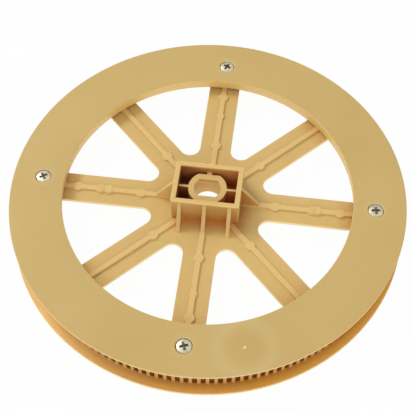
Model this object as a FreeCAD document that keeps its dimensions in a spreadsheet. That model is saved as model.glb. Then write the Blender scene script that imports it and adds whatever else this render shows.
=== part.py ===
import FreeCAD, Part
import Sketcher
import math
import os
import re

# Toothed belt wheel: a moulded wheel with eight spokes and a hub box, a ring plate screwed on as its
# upper flange, and the four screws. Millimetres, +Z up along the axle, origin in the middle of the
# lower flange's underside, +X along the hub box's long side.

os.makedirs("parts", exist_ok=True)
doc = FreeCAD.newDocument("toothed_belt_wheel")

# Driving dimensions, in millimetres and degrees
DRIVING = {
    # Teeth and rim
    "tooth_count": 148,
    "tooth_pitch": 5.0,
    "belt_line_gap": 0.57,
    "tooth_depth": 2.06,
    "groove_mouth": 3.05,
    "groove_floor": 2.1,
    "rim_wall": 3.1,
    "rim_height": 22.9,
    "lower_flange_reach": 6.3,
    "lower_flange_thickness": 1.8,
    # Web and spokes
    "web_level": 12.7,
    "web_thickness": 2.5,
    "spoke_count": 8,
    "spoke_width": 20.0,
    "window_inner_round": 6.7,
    "floor_gap": 2.0,
    # Centre rib of each spoke and its round pads
    "rib_width": 3.4,
    "rib_height": 1.4,
    "rib_start": 19.5,
    "pad_radius": 3.2,
    "near_pad_circle": 42.4,
    "far_pad_circle": 83.1,
    "slim_pad_radius": 2.5,
    "slim_pad_circle": 67.2,
    "right_pad_circle": 65.8,
    "right_pad_step": 3.2,
    "left_pad_circle": 63.0,
    "left_pad_step": 5.2,
    # Hub box
    "hub_length": 42.1,
    "hub_width": 30.3,
    "hub_wall": 3.0,
    "hub_height": 18.4,
    "hub_corner": 1.2,
    # Collar and bore inside the hub box
    "collar_radius": 12.0,
    "collar_flat": 10.0,
    "collar_drop": 4.1,
    "bore_radius": 8.5,
    "drive_radius": 8.25,
    "drive_flat": 6.05,
    "flat_depth": 6.4,
    "side_tie_width": 1.6,
    "end_tie_width": 3.0,
    # Gussets on the hub's ends and fins on its long sides
    "gusset_reach": 11.8,
    "gusset_width": 2.5,
    "fin_count": 3,
    "fin_reach": 10.8,
    "fin_width": 2.4,
    "fin_spacing": 15.3,
    "brace_drop": 1.0,
    # Ring plate
    "upper_flange_reach": 5.8,
    "plate_thickness": 1.6,
    "plate_inner_radius": 90.4,
    "lip_thickness": 2.6,
    "lip_lean": 0.9,
    "plate_chamfer": 0.4,
    "nub_circle": 107.0,
    "nub_angle": -71.3,
    "nub_radius": 0.95,
    "nub_height": 0.5,
    # Screws, their cups in the ring plate and their bosses in the wheel
    "screw_count": 4,
    "screw_circle": 104.3,
    "head_radius": 4.55,
    "head_height": 2.15,
    "head_slope": 0.8,
    "crown_radius": 3.0,
    "shank_radius": 2.1,
    "shank_length": 7.0,
    "cup_clearance": 0.45,
    "cup_depth": 2.6,
    "cup_wall": 1.7,
    "cup_floor": 1.6,
    "shank_clearance": 0.5,
    "thread_clearance": 0.15,
    "boss_wall": 3.2,
}

# Radii and levels that follow from the driving dimensions and that several pieces share
DERIVED = {
    "tip_radius": "tooth_count * tooth_pitch / (2 * pi) - belt_line_gap",
    "root_radius": "tip_radius - tooth_depth",
    "rim_inner": "root_radius - rim_wall",
    "rim_middle": "root_radius - rim_wall / 2",
    "web_top": "web_level + web_thickness",
    "web_middle": "web_level + web_thickness / 2",
    "rib_top": "web_top + rib_height",
    "hub_top": "web_top + hub_height",
    "brace_top": "hub_top - brace_drop",
    "collar_top": "hub_top - collar_drop",
    "plate_top": "rim_height + plate_thickness",
    "lip_outer": "plate_inner_radius + lip_thickness",
    # A window's corners, in a view whose x axis halves the angle between two spokes
    "window_outer": "lip_outer + floor_gap",
    "half_angle": "180 / spoke_count",
    "window_centre": "(spoke_width / 2 + window_inner_round) / sin(half_angle)",
    "window_start": "window_centre - window_inner_round * sin(half_angle)",
    "window_start_side": "window_inner_round * cos(half_angle)",
    "window_run": "sqrt(window_outer ^ 2 - (spoke_width / 2) ^ 2)",
    "window_end": "window_run * cos(half_angle) + spoke_width / 2 * sin(half_angle)",
    "window_end_side": "window_run * sin(half_angle) - spoke_width / 2 * cos(half_angle)",
    # Screw seats
    "cup_radius": "head_radius + cup_clearance",
    "cup_seat": "plate_top - cup_depth",
    "boss_top": "cup_seat - cup_floor",
    "pilot_radius": "shank_radius + thread_clearance",
    "pilot_floor": "cup_seat - shank_length - thread_clearance",
    "boss_radius": "pilot_radius + boss_wall",
    "head_top": "cup_seat + head_height",
}

sheet = doc.addObject("Spreadsheet::Sheet", "Sizes")
rows = [(name, str(number)) for name, number in DRIVING.items()]
rows += [(name, "=" + formula) for name, formula in DERIVED.items()]
for row, (name, content) in enumerate(rows, start=1):
    sheet.set("A%d" % row, name)
    sheet.set("B%d" % row, content)
    sheet.setAlias("B%d" % row, name)
doc.recompute()

ALIASES = set(DRIVING) | set(DERIVED)
UP = FreeCAD.Vector(0, 0, 1)
H_AXIS = -1
V_AXIS = -2
ORIGIN = -1
START = 1
END = 2
CENTRE = 3
# How near two places count as one, and the least volume that a cut has to remove
SAME_PLACE = 1e-4
CUT_VOLUME = 1e-3


def named(formula):
    """The formula with the sheet's name before each of its sizes."""
    return re.sub(r"[a-z_]+", lambda word: ("Sizes." if word[0] in ALIASES else "") + word[0], formula)


def amount(formula):
    """What the formula comes to now."""
    return float(sheet.evalExpression(named(formula)))


def new_body(label):
    body = doc.addObject("PartDesign::Body", label)
    body.Label = label
    body.Placement = FreeCAD.Placement()
    return body


def origin_item(body, role):
    return next(item for item in body.Origin.OriginFeatures if item.Role == role)


def new_sketch(body, name, plane, x="0", y="0", z="0", turn="0"):
    """A sketch on an origin plane, moved along its own axes and turned about its normal."""
    sketch = body.newObject("Sketcher::SketchObject", name + "_sketch")
    sketch.AttachmentSupport = [(origin_item(body, plane), "")]
    sketch.MapMode = "FlatFace"
    sketch.setExpression("AttachmentOffset.Base.x", named(x))
    sketch.setExpression("AttachmentOffset.Base.y", named(y))
    sketch.setExpression("AttachmentOffset.Base.z", named(z))
    sketch.setExpression("AttachmentOffset.Rotation.Angle", named(turn))
    return sketch


def bind(sketch, kind, *where):
    """Add a dimension whose last argument is a formula, and bind it to the sheet."""
    places, formula = where[:-1], where[-1]
    index = sketch.addConstraint(Sketcher.Constraint(kind, *places, amount(formula)))
    sketch.setExpression("Constraints[%d]" % index, named(formula))


def place(sketch, item, point, x, y):
    """Hold a point at x, y of the sketch."""
    if x == "0":
        sketch.addConstraint(Sketcher.Constraint("PointOnObject", item, point, V_AXIS))
    else:
        bind(sketch, "DistanceX", ORIGIN, START, item, point, x)
    if y == "0":
        sketch.addConstraint(Sketcher.Constraint("PointOnObject", item, point, H_AXIS))
    else:
        bind(sketch, "DistanceY", ORIGIN, START, item, point, y)


def add_circle(sketch, radius, x="0", y="0"):
    middle = FreeCAD.Vector(amount(x), amount(y), 0)
    item = sketch.addGeometry(Part.Circle(middle, UP, amount(radius)))
    place(sketch, item, CENTRE, x, y)
    bind(sketch, "Radius", item, radius)


def arc_between(start, end, radius):
    """The short anticlockwise arc from start to end."""
    half = (end - start) * 0.5
    rise = math.sqrt(max(radius ** 2 - half.Length ** 2, 0.0))
    middle = start + half + FreeCAD.Vector(-half.y, half.x, 0).normalize() * rise
    first = math.atan2(start.y - middle.y, start.x - middle.x)
    last = math.atan2(end.y - middle.y, end.x - middle.x)
    return Part.ArcOfCircle(Part.Circle(middle, UP, radius), first, last)


def add_outline(sketch, corners, arcs=None):
    """A closed outline. arcs gives the radius of each side that is a short anticlockwise arc."""
    arcs = arcs or {}
    spots = [FreeCAD.Vector(amount(x), amount(y), 0) for x, y in corners]
    items = []
    for side, spot in enumerate(spots):
        following = spots[(side + 1) % len(spots)]
        if side in arcs:
            items.append(sketch.addGeometry(arc_between(spot, following, amount(arcs[side]))))
        else:
            items.append(sketch.addGeometry(Part.LineSegment(spot, following)))
    for side, item in enumerate(items):
        following = items[(side + 1) % len(items)]
        sketch.addConstraint(Sketcher.Constraint("Coincident", item, END, following, START))
        place(sketch, item, START, *corners[side])
        if side in arcs:
            bind(sketch, "Radius", item, arcs[side])


def add_rectangle(sketch, left, right, bottom, top):
    add_outline(sketch, [(left, bottom), (right, bottom), (right, top), (left, top)])


def add_double_flat(sketch, radius, flat):
    """A circle with a flat across its front and its back."""
    side = "sqrt(%s ^ 2 - %s ^ 2)" % (radius, flat)
    corners = [(side, "-" + flat), (side, flat), ("-" + side, flat), ("-" + side, "-" + flat)]
    add_outline(sketch, corners, {0: radius, 2: radius})


def extrude(body, kind, name, sketch, length, symmetric=False):
    feature = body.newObject("PartDesign::" + kind, name)
    feature.Profile = sketch
    feature.setExpression("Length", named(length))
    feature.SideType = "Symmetric" if symmetric else "One side"
    sketch.Visibility = False
    body.Tip = feature
    return feature


def pad(body, name, sketch, length, symmetric=False):
    return extrude(body, "Pad", name, sketch, length, symmetric)


def pocket(body, name, sketch, length):
    """Cut downwards from the sketch's plane."""
    return extrude(body, "Pocket", name, sketch, length)


def revolve(body, name, sketch):
    feature = body.newObject("PartDesign::Revolution", name)
    feature.Profile = sketch
    feature.ReferenceAxis = (sketch, ["V_Axis"])
    feature.Angle = 360
    sketch.Visibility = False
    body.Tip = feature
    return feature


def around(body, name, features, count):
    """Repeat the features evenly round the axle."""
    pattern = body.newObject("PartDesign::PolarPattern", name)
    pattern.Originals = features
    pattern.Axis = (origin_item(body, "Z_Axis"), [""])
    pattern.Angle = 360
    pattern.setExpression("Occurrences", named(count))
    body.Tip = pattern
    return pattern


def fillet(body, name, test, radius):
    """Round every edge of the body so far whose middle point passes the test."""
    doc.recompute()
    base = body.Tip
    edges = []
    for number, edge in enumerate(base.Shape.Edges, start=1):
        middle = edge.valueAt((edge.FirstParameter + edge.LastParameter) / 2)
        if test(edge, middle):
            edges.append("Edge%d" % number)
    feature = body.newObject("PartDesign::Fillet", name)
    feature.Base = (base, edges)
    feature.setExpression("Radius", named(radius))
    body.Tip = feature
    return feature


def near(one, other):
    return abs(one - other) < SAME_PLACE


# Toothed wheel, one moulding: rim and lower flange

wheel = new_body("toothed_wheel")

rim_sketch = new_sketch(wheel, "rim", "XZ_Plane")
add_outline(rim_sketch, [
    ("rim_inner", "0"),
    ("tip_radius + lower_flange_reach", "0"),
    ("tip_radius + lower_flange_reach", "lower_flange_thickness"),
    ("tip_radius", "lower_flange_thickness"),
    ("tip_radius", "rim_height"),
    ("rim_inner", "rim_height"),
])
revolve(wheel, "rim", rim_sketch)

# Web: one disc, opened by a window between each two spokes

web_sketch = new_sketch(wheel, "web", "XY_Plane", z="web_level")
add_circle(web_sketch, "rim_middle")
pad(wheel, "web", web_sketch, "web_thickness")

window_sketch = new_sketch(wheel, "window", "XY_Plane", z="web_top", turn="half_angle")
add_outline(window_sketch, [
    ("window_start", "window_start_side"),
    ("window_start", "-window_start_side"),
    ("window_end", "-window_end_side"),
    ("window_end", "window_end_side"),
], {0: "window_inner_round", 2: "window_outer"})
window = pocket(wheel, "window", window_sketch, "web_thickness")
around(wheel, "windows", [window], "spoke_count")

# Hub box: four walls on the web, with rounded outer corners

box_sketch = new_sketch(wheel, "hub_box", "XY_Plane", z="web_top")
add_rectangle(box_sketch, "-hub_length / 2", "hub_length / 2", "-hub_width / 2", "hub_width / 2")
add_rectangle(box_sketch, "-hub_length / 2 + hub_wall", "hub_length / 2 - hub_wall",
              "-hub_width / 2 + hub_wall", "hub_width / 2 - hub_wall")
pad(wheel, "hub_box", box_sketch, "hub_height")


def box_corner(edge, middle):
    on_length = near(abs(middle.x), amount("hub_length / 2"))
    return on_length and near(abs(middle.y), amount("hub_width / 2"))


fillet(wheel, "hub_corners", box_corner, "hub_corner")

# Collar in the box, tied to the four walls, with a round bore that has two flats in its upper end

collar_sketch = new_sketch(wheel, "collar", "XY_Plane", z="web_top")
add_double_flat(collar_sketch, "collar_radius", "collar_flat")
pad(wheel, "collar", collar_sketch, "collar_top - web_top")

side_tie_sketch = new_sketch(wheel, "side_ties", "XY_Plane", z="web_top")
add_rectangle(side_tie_sketch, "-hub_length / 2 + hub_wall / 2", "hub_length / 2 - hub_wall / 2",
              "-side_tie_width / 2", "side_tie_width / 2")
pad(wheel, "side_ties", side_tie_sketch, "collar_top - web_top")

end_tie_sketch = new_sketch(wheel, "end_ties", "XY_Plane", z="web_top")
add_rectangle(end_tie_sketch, "-end_tie_width / 2", "end_tie_width / 2",
              "-hub_width / 2 + hub_wall / 2", "hub_width / 2 - hub_wall / 2")
pad(wheel, "end_ties", end_tie_sketch, "collar_top - web_top")

bore_sketch = new_sketch(wheel, "bore", "XY_Plane", z="collar_top - flat_depth")
add_circle(bore_sketch, "bore_radius")
pocket(wheel, "bore", bore_sketch, "collar_top - flat_depth - web_level")

flats_sketch = new_sketch(wheel, "bore_flats", "XY_Plane", z="collar_top")
add_double_flat(flats_sketch, "drive_radius", "drive_flat")
pocket(wheel, "bore_flats", flats_sketch, "flat_depth")

# Braces outside the hub box: a gusset on each end, three fins on each long side

gusset_sketch = new_sketch(wheel, "gussets", "XZ_Plane")
for side in ("", "-"):
    add_outline(gusset_sketch, [
        (side + "(hub_length / 2 - hub_wall / 2)", "web_middle"),
        (side + "(hub_length / 2 + gusset_reach)", "web_middle"),
        (side + "(hub_length / 2 + gusset_reach)", "rib_top"),
        (side + "(hub_length / 2)", "brace_top"),
        (side + "(hub_length / 2 - hub_wall / 2)", "brace_top"),
    ])
pad(wheel, "gussets", gusset_sketch, "gusset_width", symmetric=True)

fin_sketch = new_sketch(wheel, "fins", "YZ_Plane", z="-(fin_count - 1) * fin_spacing / 2")
for side in ("", "-"):
    add_outline(fin_sketch, [
        (side + "(hub_width / 2 - hub_wall / 2)", "web_middle"),
        (side + "(hub_width / 2 + fin_reach)", "web_middle"),
        (side + "(hub_width / 2 + fin_reach)", "web_top"),
        (side + "(hub_width / 2)", "brace_top"),
        (side + "(hub_width / 2 - hub_wall / 2)", "brace_top"),
    ])
fin = pad(wheel, "fins", fin_sketch, "fin_width", symmetric=True)
fin_row = wheel.newObject("PartDesign::LinearPattern", "fin_row")
fin_row.Originals = [fin]
fin_row.Direction = (origin_item(wheel, "X_Axis"), [""])
fin_row.setExpression("Length", named("(fin_count - 1) * fin_spacing"))
fin_row.setExpression("Occurrences", named("fin_count"))
wheel.Tip = fin_row

# Centre rib of each spoke, from the hub to the rim, with its round pads

rib_sketch = new_sketch(wheel, "spoke_rib", "XY_Plane", z="web_top")
add_rectangle(rib_sketch, "rib_start", "rim_middle", "-rib_width / 2", "rib_width / 2")
rib = pad(wheel, "spoke_rib", rib_sketch, "rib_height")
near_pad_sketch = new_sketch(wheel, "near_pad", "XY_Plane", z="web_top")
add_circle(near_pad_sketch, "pad_radius", "near_pad_circle")
near_pad = pad(wheel, "near_pad", near_pad_sketch, "rib_height")
around(wheel, "spoke_ribs", [rib, near_pad], "spoke_count")

# Halfway along, the two spokes across the hub box have a slim pad and the two along it a double one

middle_pad_sketch = new_sketch(wheel, "middle_pads", "XY_Plane", z="web_top")
add_circle(middle_pad_sketch, "slim_pad_radius", "0", "slim_pad_circle")
add_circle(middle_pad_sketch, "slim_pad_radius", "0", "-slim_pad_circle")
add_circle(middle_pad_sketch, "pad_radius", "right_pad_circle")
add_circle(middle_pad_sketch, "pad_radius", "-left_pad_circle")
pad(wheel, "middle_pads", middle_pad_sketch, "rib_height")
second_pad_sketch = new_sketch(wheel, "second_pads", "XY_Plane", z="web_top")
add_circle(second_pad_sketch, "pad_radius", "right_pad_circle + right_pad_step")
add_circle(second_pad_sketch, "pad_radius", "-left_pad_circle - left_pad_step")
pad(wheel, "second_pads", second_pad_sketch, "rib_height")

# The far pad of the four screw spokes, and their screw bosses on the rim floor under the ring plate

far_pad_sketch = new_sketch(wheel, "far_pad", "XY_Plane", z="web_top")
add_circle(far_pad_sketch, "pad_radius", "far_pad_circle")
far_pad = pad(wheel, "far_pad", far_pad_sketch, "rib_height")
boss_sketch = new_sketch(wheel, "screw_boss", "XY_Plane", z="web_middle")
add_circle(boss_sketch, "boss_radius", "screw_circle")
boss = pad(wheel, "screw_boss", boss_sketch, "boss_top - web_middle")
pilot_sketch = new_sketch(wheel, "pilot_hole", "XY_Plane", z="boss_top")
add_circle(pilot_sketch, "pilot_radius", "screw_circle")
pilot = pocket(wheel, "pilot_hole", pilot_sketch, "boss_top - pilot_floor")
around(wheel, "screw_spokes", [far_pad, boss, pilot], "screw_count")

# Teeth: one tapered groove, repeated round the rim, with a tooth on the middle line of the first spoke

groove_sketch = new_sketch(wheel, "groove", "XY_Plane", z="rim_height", turn="180 / tooth_count")
add_outline(groove_sketch, [
    ("root_radius", "-groove_floor / 2"),
    ("tip_radius", "-groove_mouth / 2"),
    ("tip_radius + tooth_depth", "-groove_mouth / 2"),
    ("tip_radius + tooth_depth", "groove_mouth / 2"),
    ("tip_radius", "groove_mouth / 2"),
    ("root_radius", "groove_floor / 2"),
])
groove = pocket(wheel, "groove", groove_sketch, "rim_height - lower_flange_thickness")
around(wheel, "teeth", [groove], "tooth_count")

# Ring plate, one moulding: the upper flange, turned down inside into a lip that rests on the spoke ribs

plate = new_body("ring_plate")

flange_sketch = new_sketch(plate, "flange", "XZ_Plane")
add_outline(flange_sketch, [
    ("plate_inner_radius + plate_chamfer", "plate_top"),
    ("plate_inner_radius", "plate_top - plate_chamfer"),
    ("plate_inner_radius + lip_lean", "rib_top"),
    ("lip_outer", "rib_top"),
    ("lip_outer", "rim_height"),
    ("tip_radius + upper_flange_reach", "rim_height"),
    ("tip_radius + upper_flange_reach", "plate_top - plate_chamfer"),
    ("tip_radius + upper_flange_reach - plate_chamfer", "plate_top"),
])
revolve(plate, "flange", flange_sketch)

# A cup for each screw: a wall and a floor below the plate, a recess for the head and a hole for the shank

cup_sketch = new_sketch(plate, "cup", "XY_Plane", z="boss_top")
add_circle(cup_sketch, "cup_radius + cup_wall", "screw_circle")
cup = pad(plate, "cup", cup_sketch, "rim_height - boss_top")
recess_sketch = new_sketch(plate, "recess", "XY_Plane", z="plate_top")
add_circle(recess_sketch, "cup_radius", "screw_circle")
recess = pocket(plate, "recess", recess_sketch, "cup_depth")
hole_sketch = new_sketch(plate, "shank_hole", "XY_Plane", z="cup_seat")
add_circle(hole_sketch, "shank_radius + shank_clearance", "screw_circle")
hole = pocket(plate, "shank_hole", hole_sketch, "cup_floor")
around(plate, "cups", [cup, recess, hole], "screw_count")

# The nub that moulding left on the plate

nub_sketch = new_sketch(plate, "nub", "XY_Plane", z="plate_top", turn="nub_angle")
add_circle(nub_sketch, "nub_radius", "nub_circle")
pad(plate, "nub", nub_sketch, "nub_height")

# Screws: head on the cup's floor, shank in the boss's pilot hole, one group of separate solids

screws = new_body("ring_screws")
screws.AllowCompound = True

screw_sketch = new_sketch(screws, "screw", "XZ_Plane", x="screw_circle")
add_outline(screw_sketch, [
    ("0", "cup_seat - shank_length"),
    ("shank_radius", "cup_seat - shank_length"),
    ("shank_radius", "cup_seat"),
    ("head_radius", "cup_seat"),
    ("head_radius", "head_top - head_slope"),
    ("crown_radius", "head_top"),
    ("0", "head_top"),
])
screw = revolve(screws, "screw", screw_sketch)
around(screws, "screws", [screw], "screw_count")

doc.recompute()

# Checks before anything is written: every object sound, every cut removed something, right piece counts

for item in doc.Objects:
    if {"Invalid", "Error"} & set(item.State):
        raise RuntimeError("%s failed: %s" % (item.Label, item.State))
    if item.TypeId == "PartDesign::Pocket" and item.Shape.Volume > item.BaseFeature.Shape.Volume - CUT_VOLUME:
        raise RuntimeError("%s cut nothing" % item.Label)
for body, solids in {wheel: 1, plate: 1, screws: int(amount("screw_count"))}.items():
    shape = body.Shape
    if shape.isNull() or not shape.isValid() or len(shape.Solids) != solids:
        raise RuntimeError("%s is not sound: %d solids" % (body.Label, len(shape.Solids)))
    shape.exportStep("parts/%s.step" % body.Label)
    box = shape.BoundBox
    print("%s: %d solids, volume %.1f, z %.2f to %.2f, radius %.2f"
          % (body.Label, len(shape.Solids), shape.Volume, box.ZMin, box.ZMax, box.XMax))
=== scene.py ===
import math

import bmesh
import bpy
from mathutils import Matrix, Vector


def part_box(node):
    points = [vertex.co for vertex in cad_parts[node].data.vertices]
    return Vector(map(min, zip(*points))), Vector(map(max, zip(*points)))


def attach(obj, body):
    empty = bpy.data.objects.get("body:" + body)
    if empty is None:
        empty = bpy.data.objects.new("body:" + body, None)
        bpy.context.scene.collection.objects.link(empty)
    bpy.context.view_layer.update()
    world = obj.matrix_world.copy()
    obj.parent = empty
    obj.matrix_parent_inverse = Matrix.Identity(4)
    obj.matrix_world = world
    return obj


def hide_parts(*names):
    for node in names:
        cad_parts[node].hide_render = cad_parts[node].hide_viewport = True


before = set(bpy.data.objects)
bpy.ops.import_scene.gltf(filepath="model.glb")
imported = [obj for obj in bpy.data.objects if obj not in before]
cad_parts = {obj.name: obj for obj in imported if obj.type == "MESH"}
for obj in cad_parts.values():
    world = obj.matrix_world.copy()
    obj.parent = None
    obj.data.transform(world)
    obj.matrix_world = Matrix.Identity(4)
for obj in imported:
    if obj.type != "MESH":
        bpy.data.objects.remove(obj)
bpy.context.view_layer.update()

# Toothed belt wheel in metres: a moulded wheel, a ring plate screwed on as its upper flange, and four
# screws. +Z is up along the axle, and the wheel stands on its lower flange.

MM = 0.001
scene = bpy.context.scene

# Wheel moulding
# One injection-moulded piece of tan engineering plastic: hub box, shaft collar, eight ribbed spokes,
# toothed rim and lower flange. Every edge that shows comes out of the mould a little rounded.

EDGE_ANGLE = math.radians(28)
FLAT_ANGLE = math.radians(0.6)
SHARP_ANGLE = math.radians(50)
MERGE_GAP = 0.002 * MM
WHEEL_EDGE = 0.28 * MM
BORE_RADIUS = 8.5 * MM
BORE_INSIDE = (13 * MM, 29 * MM)
BORE_FLAT = 6.05 * MM
ROUND_STEPS = 48
FLANGE_LEVEL = 1.8 * MM
FLANGE_RADIUS = 123.5 * MM
TIP_RADIUS = 117.2 * MM
GROOVE_DEPTH = 2.06 * MM
BOX_INSIDE = (18.05 * MM, 12.15 * MM)
BOX_TOP = 33.6 * MM
COLLAR_TOP = 29.5 * MM
WEB_LEVEL = 12.7 * MM
WEB_TOP = 15.2 * MM
BOX_FOOT = (21.05 * MM, 15.15 * MM, WEB_TOP)
FOOT_REACH = 9 * MM
GUSSET_SIDE = 1.25 * MM
GUSSET_REACH = 11.8 * MM
COLLAR_RADIUS = 12 * MM
SIDE_REACH = (24 * MM, 97 * MM)
PAD_LEVEL = 16.6 * MM
BLISTER_RADIUS = 2.9 * MM
BLISTER_HEIGHT = 0.6 * MM
BLISTER_SHOULDER = 0.48 * MM
BLISTER_EDGE = 0.5 * MM
BLISTERS = [(65.8 * MM, 1.0), (69.0 * MM, 0.7), (-63.0 * MM, 0.7), (-68.2 * MM, 1.0)]

# A tone reaches past its face by the margin, over the rounded edge, and goes out over the blend
TONE_BLEND = 0.2 * MM
TONE_MARGIN = 0.3 * MM
TONE_STOPS = (0.3, 0.7)


def new_piece(name, mesh, slot, *nodes):
    """Show a mesh as a piece of the object that stands for these CAD nodes."""
    piece = bpy.data.objects.new(name, mesh)
    scene.collection.objects.link(piece)
    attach(piece, "root")
    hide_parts(*nodes)
    return piece


def in_bore(edge):
    """Whether an edge is on the shoulder between the bore's round part and its flats."""
    middle = (edge.verts[0].co + edge.verts[1].co) / 2
    return middle.xy.length < BORE_RADIUS + WHEEL_EDGE and BORE_INSIDE[0] < middle.z < BORE_INSIDE[1]


def close_up(shape):
    """Merge corners that lie on each other and drop faces without an area."""
    bmesh.ops.remove_doubles(shape, verts=shape.verts, dist=MERGE_GAP)
    bmesh.ops.dissolve_degenerate(shape, dist=MERGE_GAP, edges=shape.edges)


def soft_edged(node, name, width, at_mouth=None, mouth_width=0.0):
    """A copy of a CAD node's mesh whose sharp edges are rounded, a mouth's edges by a width of their own."""
    shape = bmesh.new()
    shape.from_mesh(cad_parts[node].data)
    bmesh.ops.remove_doubles(shape, verts=shape.verts, dist=MERGE_GAP)
    bmesh.ops.dissolve_limit(shape, angle_limit=FLAT_ANGLE, verts=shape.verts, edges=shape.edges)
    sharp = [edge for edge in shape.edges
             if edge.is_manifold and edge.calc_face_angle() > EDGE_ANGLE and not in_bore(edge)]
    mouths = [edge for edge in sharp if at_mouth and at_mouth(edge)]
    others = [edge for edge in sharp if edge not in mouths]
    for edges, offset in ((others, width), (mouths, mouth_width)):
        bmesh.ops.bevel(shape, geom=edges, offset=offset, offset_type="OFFSET", affect="EDGES",
                        segments=2, profile=0.5, material=-1)
    close_up(shape)
    mesh = bpy.data.meshes.new(name)
    shape.to_mesh(mesh)
    shape.free()
    return mesh


def lathe(name, profile):
    """A closed solid turned from (radius, height) points, the first and last of them on the axis."""
    shape = bmesh.new()
    corners = [shape.verts.new((radius, 0, height)) for radius, height in profile]
    edges = [shape.edges.new(pair) for pair in zip(corners, corners[1:])]
    bmesh.ops.spin(shape, geom=corners + edges, cent=(0, 0, 0), axis=(0, 0, 1), angle=2 * math.pi,
                   steps=ROUND_STEPS, use_merge=True)
    bmesh.ops.remove_doubles(shape, verts=shape.verts, dist=MERGE_GAP)
    bmesh.ops.recalc_face_normals(shape, faces=shape.faces)
    mesh = bpy.data.meshes.new(name)
    shape.to_mesh(mesh)
    shape.free()
    return mesh


def add_blisters(mesh):
    """Raise the two double pads a little above their ribs, each as two low round blisters."""
    profile = [(0, -BLISTER_EDGE), (BLISTER_RADIUS, -BLISTER_EDGE), (BLISTER_RADIUS, 0)]
    for degrees in range(15, 91, 15):
        turn = math.radians(degrees)
        across = BLISTER_RADIUS - BLISTER_EDGE * (1 - math.cos(turn))
        profile.append((across, BLISTER_SHOULDER * math.sin(turn)))
    profile.append((0, BLISTER_HEIGHT))
    blister = lathe("blister", profile)
    shape = bmesh.new()
    shape.from_mesh(mesh)
    for along, height in BLISTERS:
        copy = blister.copy()
        copy.transform(Matrix.Translation((along, 0, PAD_LEVEL)) @ Matrix.Diagonal((1, 1, height, 1)))
        shape.from_mesh(copy)
    shape.to_mesh(mesh)
    shape.free()
    return mesh


def smooth(piece):
    """Smooth shading that keeps flat faces flat."""
    piece.data.shade_smooth()
    piece.data.set_sharp_from_angle(angle=SHARP_ANGLE)
    weighted = piece.modifiers.new("weighted", "WEIGHTED_NORMAL")
    weighted.weight = 100
    weighted.keep_sharp = True


class Shade:
    """One output of some nodes, open to plain arithmetic."""

    def __init__(self, nodes, socket):
        self.nodes = nodes
        self.socket = socket

    def maths(self, operation, *values):
        return self.nodes.add("Math", dict(enumerate(values)), operation=operation)

    def __add__(self, other):
        return self.maths("ADD", self, other)

    def __radd__(self, other):
        return self.maths("ADD", other, self)

    def __sub__(self, other):
        return self.maths("SUBTRACT", self, other)

    def __rsub__(self, other):
        return self.maths("SUBTRACT", other, self)

    def __mul__(self, other):
        return self.maths("MULTIPLY", self, other)

    def __rmul__(self, other):
        return self.maths("MULTIPLY", other, self)

    def __truediv__(self, other):
        return self.maths("DIVIDE", self, other)

    def at_least(self, other):
        return self.maths("MAXIMUM", self, other)

    def at_most(self, other):
        return self.maths("MINIMUM", self, other)

    def clamped(self):
        return self.nodes.add("Clamp", {0: self})

    def size(self):
        return self.maths("ABSOLUTE", self)

    def root(self):
        return self.maths("SQRT", self)

    def above(self, limit, blend=TONE_BLEND):
        """One where this is well above a limit, nought below it."""
        return ((self - limit) / blend).clamped()

    def below(self, limit, blend=TONE_BLEND):
        """One where this is well below a limit, nought above it."""
        return ((limit - self) / blend).clamped()

    def near(self, level):
        """One within the margin of a level, nought elsewhere."""
        return self.above(level - TONE_MARGIN) * self.below(level + TONE_MARGIN)

    def between(self, low, high):
        """Nought and one moved to these two values."""
        return low + (high - low) * self

    def ramp(self, *stops):
        """Colours at positions from 0 to 1."""
        return self.nodes.add("ValToRGB", {0: self}, stops=stops)

    def tan(self, deep, pale):
        """A plastic's colour, which wanders between a deep and a pale tone."""
        return self.ramp(*zip(TONE_STOPS, (deep, pale)))


class Nodes:
    """The nodes of one material, or of the world."""

    def __init__(self, tree):
        self.tree = tree

    def add(self, kind, sockets, output=0, stops=(), **settings):
        """A new node: its settings first, then the numbers and shades of its sockets."""
        made = self.tree.nodes.new("ShaderNode" + kind)
        for name, value in settings.items():
            setattr(made, name, value)
        for number, (position, colour) in enumerate(stops):
            elements = made.color_ramp.elements
            element = elements[number] if number < len(elements) else elements.new(position)
            element.position = position
            element.color = (*colour, 1)
        for name, value in sockets.items():
            if isinstance(value, Shade):
                self.tree.links.new(value.socket, made.inputs[name])
            else:
                made.inputs[name].default_value = value
        return Shade(self, made.outputs[output])


class Finish(Nodes):
    """A material with one main shader and its object coordinates."""

    def __init__(self, name, **constants):
        self.material = bpy.data.materials.new(name)
        self.material.use_nodes = True
        super().__init__(self.material.node_tree)
        self.shader = self.tree.nodes["Principled BSDF"]
        for socket, value in constants.items():
            self.shader.inputs[socket.replace("_", " ")].default_value = value
        self.place = self.add("TexCoord", {}, "Object")

    def noise(self, size, detail=2.0):
        """Noise from 0 to 1 whose patches are about size metres wide."""
        return self.add("TexNoise", {"Vector": self.place, "Scale": 1 / size, "Detail": detail})

    def distance(self, spot, place=None):
        """How far a place on the surface is from a spot."""
        return self.add("VectorMath", {0: place or self.place, 1: spot}, "Value", operation="DISTANCE")

    def mix(self, share, first, second):
        """The first colour, with a share of the second."""
        return self.add("Mix", {0: share, 6: first, 7: second}, 2, data_type="RGBA")

    def layered(self, base, *layers):
        """A base colour with shares of other colours laid over it in turn."""
        for share, colour in layers:
            base = self.mix(share, base, colour)
        return base

    def feed(self, socket, shade):
        self.tree.links.new(shade.socket, self.shader.inputs[socket])

    def bump(self, height, distance):
        """Height in 0 to 1 raised by distance metres."""
        self.feed("Normal", self.add("Bump", {"Strength": 1.0, "Distance": distance, "Height": height}))

    def on(self, piece):
        piece.data.materials.clear()
        piece.data.materials.append(self.material)


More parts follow.
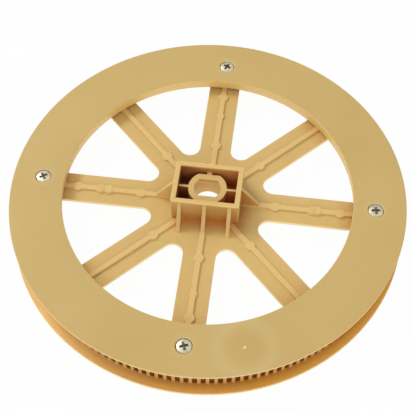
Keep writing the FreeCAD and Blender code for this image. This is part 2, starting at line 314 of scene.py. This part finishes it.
wheel_plastic = Finish("wheel_plastic", Subsurface_Weight=0.3, Subsurface_Scale=0.8 * MM,
                       Subsurface_Radius=(1.0, 0.5, 0.2), IOR=1.45, Specular_IOR_Level=0.25)
across, aside, height = [wheel_plastic.add("SeparateXYZ", {0: wheel_plastic.place}, axis) for axis in "XYZ"]
from_axle = (across * across + aside * aside).root()
off_middle = (across.size(), aside.size())
mottle = wheel_plastic.noise(34 * MM, detail=3) * 0.7 + wheel_plastic.noise(2.4 * MM, detail=4) * 0.3
# Mottle for the hub's pockets, with painted shade that makes them darker to the left
pocket_shade_mottle = mottle * 0.3 + across / BOX_INSIDE[0] * 0.2 + 0.35

# The plastic lets a little light through. Its colour carries painted shade where it is closed in and painted
# light at its thin edges and on the spokes' sides. The lower flange is painted the most orange, and palest to
# the left and at its rim, as painted light. The hub's pockets carry painted shade, deepest to the left
open_tan = mottle.ramp((0.3, (0.65, 0.445, 0.158)), (0.5, (0.69, 0.475, 0.175)), (0.72, (0.73, 0.508, 0.198)))
# Painted light: the lower flange's stronger orange stands in for light passing through the thin flange
painted_flange_glow = mottle.tan((0.86, 0.46, 0.08), (0.93, 0.52, 0.105))
# Painted light: the flange is paler to the left and at its rim
painted_flange_light = mottle.tan((0.94, 0.62, 0.24), (0.98, 0.68, 0.28))
# Painted shade on the flange at the foot of the teeth, under the plate's overhang
painted_tooth_shade = mottle.tan((0.5, 0.2, 0.03), (0.58, 0.25, 0.045))
# Painted light on the spokes' sides
painted_side_light = mottle.tan((0.9, 0.7, 0.31), (0.96, 0.76, 0.36))
# Painted light on the bore's wall
painted_bore_light = mottle.tan((0.73, 0.48, 0.124), (0.81, 0.54, 0.15))
# Painted shade on the bore's flats near the collar's top
painted_shoulder_shade = mottle.tan((0.52, 0.3, 0.07), (0.6, 0.35, 0.09))
# Painted shade on the web between the hub's front fins
painted_foot_shade = mottle.tan((0.6, 0.185, 0.026), (0.68, 0.23, 0.038))
# Painted shade on the hub's front wall, the right gusset, beside the hub and under the plate's lip
painted_wall_shade = mottle.tan((0.4, 0.155, 0.026), (0.46, 0.19, 0.036))
# Painted shade on the tooth tips, under the plate's overhang
painted_tip_shade = mottle.tan((0.58, 0.34, 0.12), (0.66, 0.4, 0.15))
# Painted shade in the hub's pockets
painted_pocket_shade = pocket_shade_mottle.tan((0.34, 0.12, 0.027), (0.61, 0.25, 0.068))
# Painted shade deep in the grooves between the teeth
painted_groove_shade = mottle.tan((0.2, 0.06, 0.01), (0.27, 0.085, 0.016))
# Painted highlight on the hub box's top, strongest along its outer edges, and on the ribs' tops
painted_edge_highlight = mottle.tan((0.8, 0.56, 0.22), (0.88, 0.62, 0.26))

# Where the tones that fade slowly start, and over what length they come in or go out
FLANGE_FADE = (FLANGE_LEVEL + 3 * MM, 3 * MM)
TOOTH_FADE = (TIP_RADIUS + 4.5 * MM, 4.5 * MM)
TOOTH_SPREAD = (-60 * MM, 50 * MM)
PALE_SPREAD = (40 * MM, 120 * MM)
RIM_FADE = (FLANGE_RADIUS - 1.2 * MM, 1 * MM)
LIP_FADE = (80 * MM, 10 * MM)
SHOULDER_FADE = (COLLAR_TOP - 3 * MM, 2 * MM)
POCKET_FADE = (BOX_TOP - 0.4 * MM, 1.5 * MM)
FOOT_FADE = (8 * MM, 10 * MM)
FIN_FADE = (BOX_FOOT[0], 4 * MM)
BESIDE_FADE = (BOX_FOOT[0] - 3 * MM, 3 * MM)
FRONT_SPREAD = (-12 * MM, 24 * MM)
FRONT_FADE = (BOX_TOP - 0.6 * MM, 1 * MM)
BOX_EDGE = 0.7 * MM
BOX_EDGE_DEPTH = 0.5 * MM

# How strongly a tone shows where it is fullest, or at both ends of its spread
TOOTH_SHARES = (0.2, 0.8)
FRONT_SHARES = (0.25, 0.5)
FRONT_FOOT_SHARE = 0.35
GUSSET_SHARES = (0.45, 1.0)
PALE_SHARE = 0.8
BOX_TOP_SHARE = 0.4
RIB_SHARE = 0.45
FOOT_SHARE = 0.75
BESIDE_SHARE = 0.85
LIP_SHARE = 0.25
GROOVE_SHARE = 0.9

on_flange = height.below(*FLANGE_FADE)
at_teeth = (on_flange * from_axle.below(*TOOTH_FADE)
            * across.above(*TOOTH_SPREAD).between(*TOOTH_SHARES))
painted_flange_light_share = (across.below(*PALE_SPREAD) * PALE_SHARE).at_least(from_axle.above(*RIM_FADE))
under_lip = (from_axle.above(*LIP_FADE) * from_axle.below(SIDE_REACH[1])
             * height.above(WEB_TOP - TONE_BLEND))
on_tip = from_axle.above(TIP_RADIUS - TONE_MARGIN) * height.above(FLANGE_LEVEL + TONE_BLEND)
on_side = (height.above(WEB_LEVEL + TONE_BLEND) * height.below(WEB_TOP - TONE_BLEND / 2)
           * from_axle.above(SIDE_REACH[0], 1 * MM) * from_axle.below(SIDE_REACH[1], 1 * MM))
in_bore_hole = from_axle.below(BORE_RADIUS + TONE_MARGIN) * height.below(COLLAR_TOP - TONE_MARGIN)
on_flat = in_bore_hole * off_middle[1].below(BORE_FLAT + TONE_BLEND) * off_middle[0].below(BORE_FLAT)
at_shoulder = on_flat * height.above(*SHOULDER_FADE)
in_groove = (from_axle.above(TIP_RADIUS - GROOVE_DEPTH - TONE_MARGIN)
             * from_axle.below(TIP_RADIUS - TONE_MARGIN, 2 * TONE_BLEND) * height.above(FLANGE_LEVEL / 2))
in_box, off_walls = [off_middle[0].below(BOX_INSIDE[0] + reach) * off_middle[1].below(BOX_INSIDE[1] + reach)
                     for reach in (TONE_MARGIN, -TONE_MARGIN)]
on_tie = off_walls * height.above(COLLAR_TOP - TONE_MARGIN)
in_pocket = (in_box * from_axle.above(COLLAR_RADIUS - TONE_MARGIN) * (1.0 - on_tie)
             * height.below(*POCKET_FADE))
beyond_box = [place.at_least(limit) - limit for place, limit in zip((*off_middle, height), BOX_FOOT)]
from_foot = sum(gap * gap for gap in beyond_box).root()
near_foot = (from_foot.below(FOOT_REACH, FOOT_REACH) * aside.below(*FOOT_FADE)
             * height.above(WEB_TOP - 2 * TONE_BLEND) * (1.0 - in_box))
between_fins = near_foot * off_middle[0].below(*FIN_FADE)
beside_box = near_foot * across.above(*BESIDE_FADE)
on_rib = (height.above(PAD_LEVEL - TONE_MARGIN) * height.below(PAD_LEVEL + BLISTER_HEIGHT)
          * from_axle.above(SIDE_REACH[0]))
down_front = height.below(BOX_TOP, BOX_TOP - WEB_TOP)
on_front = (aside.near(-BOX_FOOT[1]) * off_middle[0].below(BOX_FOOT[0] + TONE_BLEND / 2)
            * height.above(WEB_TOP) * height.below(*FRONT_FADE)
            * (across.above(*FRONT_SPREAD).between(*FRONT_SHARES) + down_front * FRONT_FOOT_SHARE))
gusset_end = BOX_FOOT[0] + GUSSET_REACH
on_gusset = (aside.near(-GUSSET_SIDE) * height.above(PAD_LEVEL) * across.above(BOX_FOOT[0])
             * across.below(gusset_end) * across.below(gusset_end, GUSSET_REACH).between(*GUSSET_SHARES))
in_shade = on_front.at_least(on_gusset).at_least(beside_box * BESIDE_SHARE).at_least(under_lip * LIP_SHARE)
outer_edge = off_middle[0].above(BOX_FOOT[0] - BOX_EDGE, TONE_MARGIN).at_least(
    off_middle[1].above(BOX_FOOT[1] - BOX_EDGE, TONE_MARGIN))
on_box_edge = outer_edge.at_least(BOX_TOP_SHARE) * height.above(BOX_TOP - BOX_EDGE_DEPTH)

# Over the plastic's own mottle, the painted light and shade above are laid on in turn
painted_flange_light_and_shade = wheel_plastic.layered(painted_flange_glow, (painted_flange_light_share, painted_flange_light), (at_teeth, painted_tooth_shade))
wheel_plastic.feed("Base Color", wheel_plastic.layered(
    open_tan, (on_flange, painted_flange_light_and_shade), (on_side, painted_side_light), (in_bore_hole, painted_bore_light),
    (at_shoulder, painted_shoulder_shade), (on_box_edge, painted_edge_highlight), (on_rib * RIB_SHARE, painted_edge_highlight),
    (between_fins * FOOT_SHARE, painted_foot_shade), (in_shade, painted_wall_shade), (on_tip, painted_tip_shade),
    (in_pocket, painted_pocket_shade), (in_groove * GROOVE_SHARE, painted_groove_shade)))
wheel_plastic.feed("Roughness", wheel_plastic.noise(9 * MM, detail=3).between(0.36, 0.5))
wheel_plastic.bump(wheel_plastic.noise(0.45 * MM, detail=3) * 0.6 + wheel_plastic.noise(5 * MM) * 0.4,
                   distance=0.025 * MM)

wheel_mesh = add_blisters(soft_edged("toothed_wheel", "wheel_moulding", WHEEL_EDGE))
wheel = new_piece("wheel_moulding", wheel_mesh, "wheel_plastic", "toothed_wheel")
smooth(wheel)
wheel_plastic.on(wheel)

# Ring plate
# A second moulding, the upper flange: a flat ring with a turned-down inner lip and four screw cups.
# Its face is duller and a little greener than the wheel. A faint pale ring runs round the gate's nub, and
# the cups under the plate show through as fainter ones.

LIP_RADIUS = 90.4 * MM
PLATE_EDGE = 0.22 * MM
MOUTH_EDGE = 0.45 * MM
SCREW_CIRCLE = 104.3 * MM
CUP_RADIUS = 5 * MM
CUP_OUTSIDE = 6.9 * MM
CUP_RING_WIDTH = 1.3 * MM
RING_CHANGE = 0.12
NUB_CIRCLE = 107 * MM
NUB_ANGLE = math.radians(-71.3)
NUB_RADIUS = 0.95 * MM
NUB_HEIGHT = 0.5 * MM
GATE_REACH = 11 * MM
GATE_DISC_FADE = 3 * MM
GATE_RING_START = (GATE_REACH, 4 * MM)
GATE_RING_END = (22 * MM, 6 * MM)
GATE_SHARE = 0.6
EDGE_REACH = 0.4 * MM
EDGE_DEPTH = 0.1 * MM
LIP_WIDTH = 1.2 * MM
PLATE_RIM = 0.35 * MM
GATE_TAN = (0.64, 0.475, 0.2, 1)
# Painted light on the inner lip
PAINTED_LIP_LIGHT = (0.77, 0.535, 0.19, 1)
# Painted highlight along the plate's outer edge
PAINTED_EDGE_HIGHLIGHT = (0.86, 0.56, 0.25, 1)
# Painted light inside the screw cups
PAINTED_CUP_LIGHT = (0.92, 0.76, 0.46, 1)
NUB_TAN = (0.86, 0.66, 0.32, 1)
plate_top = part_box("ring_plate")[1].z - NUB_HEIGHT
plate_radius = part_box("ring_plate")[1].x
nub_place = (NUB_CIRCLE * math.cos(NUB_ANGLE), NUB_CIRCLE * math.sin(NUB_ANGLE), plate_top)


def at_cup_mouth(edge):
    """Whether an edge is on the rim of a screw's cup, at the plate's face."""
    middle = (edge.verts[0].co + edge.verts[1].co) / 2
    from_screw = min(math.hypot(abs(middle.x) - SCREW_CIRCLE, middle.y),
                     math.hypot(middle.x, abs(middle.y) - SCREW_CIRCLE))
    return abs(middle.z - plate_top) < PLATE_EDGE and from_screw < CUP_OUTSIDE


plate_plastic = Finish("plate_plastic", Subsurface_Weight=0.2, Subsurface_Scale=0.8 * MM,
                       Subsurface_Radius=(1.0, 0.6, 0.3), IOR=1.45)
across, aside, height = [plate_plastic.add("SeparateXYZ", {0: plate_plastic.place}, axis) for axis in "XYZ"]
from_axle = (across * across + aside * aside).root()
from_gate = plate_plastic.distance(nub_place)
gate_ring = from_gate.above(*GATE_RING_START) * from_gate.below(*GATE_RING_END)
gate_disc = from_gate.below(GATE_REACH, GATE_DISC_FADE)
quarter = plate_plastic.add("VectorMath", {0: plate_plastic.place}, operation="ABSOLUTE")
from_screw = plate_plastic.distance((SCREW_CIRCLE, 0, plate_top), quarter).at_most(
    plate_plastic.distance((0, SCREW_CIRCLE, plate_top), quarter))
cup_ring = (from_screw - CUP_OUTSIDE).size().below(CUP_RING_WIDTH, CUP_RING_WIDTH)
mottle = (plate_plastic.noise(60 * MM) * 0.5 + plate_plastic.noise(1.6 * MM, detail=4) * 0.2
          - gate_disc * RING_CHANGE + cup_ring * RING_CHANGE + 0.13)
open_tan = mottle.ramp(
    (0.3, (0.565, 0.385, 0.125)), (0.5, (0.6, 0.418, 0.143)), (0.72, (0.635, 0.455, 0.168)))
off_face = height.below(plate_top - EDGE_DEPTH)
on_lip = (from_axle.below(LIP_RADIUS + LIP_WIDTH) * off_face).at_least(
    from_axle.below(LIP_RADIUS + EDGE_REACH, TONE_MARGIN))
on_edge = from_axle.above(plate_radius - PLATE_RIM, TONE_MARGIN)
in_cup = from_screw.below(CUP_RADIUS + EDGE_REACH) * off_face
on_nub = from_gate.below(1.25 * NUB_RADIUS, TONE_MARGIN)
# Painted light on the inner lip and in the cups, and a painted highlight along the outer edge
plate_plastic.feed("Base Color", plate_plastic.layered(
    open_tan, (gate_ring * GATE_SHARE, GATE_TAN), (on_lip, PAINTED_LIP_LIGHT), (on_edge, PAINTED_EDGE_HIGHLIGHT),
    (in_cup, PAINTED_CUP_LIGHT), (on_nub, NUB_TAN)))
plate_plastic.feed("Roughness", plate_plastic.noise(14 * MM, detail=3).between(0.44, 0.56))
plate_plastic.bump(plate_plastic.noise(0.35 * MM, detail=3), distance=0.02 * MM)

plate_mesh = soft_edged("ring_plate", "ring_plate_moulding", PLATE_EDGE, at_cup_mouth, MOUTH_EDGE)
plate = new_piece("ring_plate_moulding", plate_mesh, "plate_plastic", "ring_plate")
smooth(plate)
plate_plastic.on(plate)

# Screws
# Four cross-recess pan head screws of bright plated steel, turned home by hand, so each cross stands
# at its own angle. The cross recess is given a dark finish of its own, which is painted shade.

HEAD_RADIUS = 4.65 * MM
HEAD_SLOPE = 0.2 * MM
HEAD_SIDE = 1.1 * MM
HEAD_SHOULDER = 0.55 * MM
HEAD_FOOT = 0.15 * MM
CROWN_STEPS = 8
SCREW_SHARP_ANGLE = math.radians(35)
SHANK_RADIUS = 2.1 * MM
SHANK_CHAMFER = 0.5 * MM
SHANK_LENGTH = 7 * MM
CROSS_DEPTH = 1.7 * MM
CROSS_RISE = 0.3 * MM
WING_FLOOR = (2.61 * MM, 1.12 * MM)
WING_MOUTH = (6.38 * MM, 1.68 * MM)
CROSS_TURNS = [8, 63, 33, 20]
shank_end, head_top = (corner.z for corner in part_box("ring_screws"))
head_seat = shank_end + SHANK_LENGTH


def head_profile():
    """A flat seat, a short straight side, a rounded shoulder and a low crown, from the seat upwards."""
    foot_radius = HEAD_RADIUS + HEAD_SLOPE
    points = [(foot_radius - HEAD_FOOT, head_seat), (foot_radius, head_seat + HEAD_FOOT)]
    for degrees in range(0, 61, 12):
        turn = math.radians(degrees)
        points.append((HEAD_RADIUS - HEAD_SHOULDER * (1 - math.cos(turn)),
                       head_seat + HEAD_SIDE + HEAD_SHOULDER * math.sin(turn)))
    edge_radius, edge_height = points[-1]
    for step in range(1, CROWN_STEPS + 1):
        share = step / CROWN_STEPS
        rise = (head_top - edge_height) * math.sin(share * math.pi / 2)
        points.append((edge_radius * (1 - share), edge_height + rise))
    return points


def cross_cutter():
    """Two tapered wings at right angles, standing on the recess's floor and rising out of the head."""
    shape = bmesh.new()
    for turn in (0, 90):
        wing = bmesh.ops.create_cube(shape, size=1.0)["verts"]
        for corner in wing:
            low = corner.co.z < 0
            length, width = WING_FLOOR if low else WING_MOUTH
            corner.co.x *= length
            corner.co.y *= width
            corner.co.z = head_top - CROSS_DEPTH if low else head_top + CROSS_RISE
        quarter_turn = Matrix.Rotation(math.radians(turn), 3, "Z")
        bmesh.ops.rotate(shape, verts=wing, cent=(0, 0, 0), matrix=quarter_turn)
    mesh = bpy.data.meshes.new("cross_cutter")
    shape.to_mesh(mesh)
    shape.free()
    return mesh


screw_steel = Finish("screw_steel", Metallic=1.0)
screw_steel.feed("Base Color", screw_steel.noise(1.5 * MM, detail=3).ramp(
    (0.35, (0.42, 0.39, 0.28)), (0.6, (0.64, 0.6, 0.46))))
screw_steel.feed("Roughness", screw_steel.noise(0.8 * MM, detail=3).between(0.32, 0.52))
screw_steel.bump(screw_steel.noise(0.5 * MM), distance=0.01 * MM)
# Painted shade: a dark finish on the faces of the cross recess
painted_cross_shade = Finish("painted_cross_shade", Metallic=0.6)
painted_cross_shade.feed("Base Color", painted_cross_shade.noise(0.6 * MM).ramp(
    (0.35, (0.09, 0.08, 0.035)), (0.65, (0.3, 0.27, 0.16))))
painted_cross_shade.feed("Roughness", painted_cross_shade.noise(0.5 * MM).between(0.45, 0.65))

shank_profile = [(0, shank_end), (SHANK_RADIUS - SHANK_CHAMFER, shank_end),
                 (SHANK_RADIUS, shank_end + SHANK_CHAMFER), (SHANK_RADIUS, head_seat)]
blank = bpy.data.objects.new("screw_blank", lathe("screw_blank", shank_profile + head_profile()))
cutter = bpy.data.objects.new("cross_cutter", cross_cutter())
for made, finish in ((blank, screw_steel), (cutter, painted_cross_shade)):
    scene.collection.objects.link(made)
    finish.on(made)
cut = blank.modifiers.new("cut", "BOOLEAN")
cut.object = cutter
cut.operation = "DIFFERENCE"
cut.solver = "EXACT"
cut.use_self = True
cut.material_mode = "TRANSFER"
bpy.context.view_layer.update()
screw_mesh = bpy.data.meshes.new_from_object(blank.evaluated_get(bpy.context.evaluated_depsgraph_get()))
bpy.data.objects.remove(blank)
bpy.data.objects.remove(cutter)
shape = bmesh.new()
shape.from_mesh(screw_mesh)
close_up(shape)
shape.to_mesh(screw_mesh)
shape.free()

for number, turn in enumerate(CROSS_TURNS):
    mesh = screw_mesh.copy()
    mesh.transform(Matrix.Rotation(math.radians(turn), 4, "Z"))
    mesh.transform(Matrix.Translation((SCREW_CIRCLE, 0, 0)))
    mesh.transform(Matrix.Rotation(math.radians(90 * number), 4, "Z"))
    new_piece("ring_screw_%d" % (number + 1), mesh, "screw_steel", "ring_screws")
    mesh.shade_smooth()
    mesh.set_sharp_from_angle(angle=SCREW_SHARP_ANGLE)

# Studio
# A plain white table and backdrop under a large soft light behind the wheel and a weaker one in front.

LENS_PIXELS = 946.73
IMAGE_PIXELS = 412
ELEVATION = math.radians(57.05)
AZIMUTH = math.radians(7.97)
ROLL = math.radians(-0.69)
DISTANCE = 4.7825 * plate_radius
ASIDE = -0.0075 * plate_radius
ABOVE = -0.0696 * plate_radius
TABLE_SIZE = 4.0
TABLE_PALE = 0.9
TABLE_SEEN = 0.97
TABLE_LIT = 0.95
WORLD_LEVEL = 0.62


def seen_directly(nodes):
    """One for rays that come from the camera, a mirror or glass, and nought for the rest."""
    kinds = [nodes.add("LightPath", {}, "Is %s Ray" % kind) for kind in ("Camera", "Glossy", "Transmission")]
    return kinds[0].at_least(kinds[1]).at_least(kinds[2])


def lit_table(name):
    """A pale lit table that the camera sees as nearly white, with the object's shadow on it."""
    material = bpy.data.materials.new(name)
    material.use_nodes = True
    nodes = Nodes(material.node_tree)
    nodes.tree.nodes.remove(nodes.tree.nodes["Principled BSDF"])
    pale = nodes.add("BsdfDiffuse", {"Color": (TABLE_PALE, TABLE_PALE, TABLE_PALE, 1)})
    glow = nodes.add("Emission", {"Strength": 1.0})
    share = seen_directly(nodes).between(TABLE_LIT, TABLE_SEEN)
    surface = nodes.add("MixShader", {0: share, 1: pale, 2: glow})
    nodes.tree.links.new(surface.socket, nodes.tree.nodes["Material Output"].inputs["Surface"])
    return material


floor_mesh = bpy.data.meshes.new("floor")
floor_shape = bmesh.new()
bmesh.ops.create_grid(floor_shape, x_segments=1, y_segments=1, size=TABLE_SIZE)
floor_shape.to_mesh(floor_mesh)
floor_shape.free()
floor_mesh.materials.append(lit_table("lit_table"))
floor = bpy.data.objects.new("floor", floor_mesh)
scene.collection.objects.link(floor)

world = bpy.data.worlds.new("studio")
scene.world = world
world.use_nodes = True
sky = Nodes(world.node_tree)
background = sky.tree.nodes["Background"]
background.inputs["Color"].default_value = (1, 1, 1, 1)
strength = seen_directly(sky).between(WORLD_LEVEL, 1)
sky.tree.links.new(strength.socket, background.inputs["Strength"])


def soft_light(name, place, size, power):
    """A round soft lamp that points at the object."""
    data = bpy.data.lights.new(name, "AREA")
    data.shape = "DISK"
    data.size = size
    data.energy = power
    lamp = bpy.data.objects.new(name, data)
    lamp.location = place
    lamp.rotation_euler = (-Vector(place)).to_track_quat("-Z", "Y").to_euler()
    scene.collection.objects.link(lamp)


soft_light("back_light", place=(-1.6, 0.9, 1.9), size=1.0, power=26.5)
soft_light("front_light", place=(0.3, -2.2, 1.05), size=1.5, power=14.0)

back = Vector((math.sin(AZIMUTH) * math.cos(ELEVATION), -math.cos(AZIMUTH) * math.cos(ELEVATION),
               math.sin(ELEVATION)))
level = Vector((math.cos(AZIMUTH), math.sin(AZIMUTH), 0))
upright = back.cross(level)
right = level * math.cos(ROLL) + upright * math.sin(ROLL)
up = upright * math.cos(ROLL) - level * math.sin(ROLL)
aim = Vector((0, 0, plate_top))
camera_data = bpy.data.cameras.new("camera")
camera_data.sensor_width = 36
camera_data.lens = LENS_PIXELS / IMAGE_PIXELS * camera_data.sensor_width
camera_data.clip_start = 0.01
camera = bpy.data.objects.new("camera", camera_data)
camera.matrix_world = Matrix.Translation(aim + right * ASIDE + up * ABOVE + back * DISTANCE) @ Matrix(
    (right, up, back)).transposed().to_4x4()
scene.collection.objects.link(camera)
scene.camera = camera
scene.view_settings.view_transform = "Standard"

bpy.context.view_layer.update()
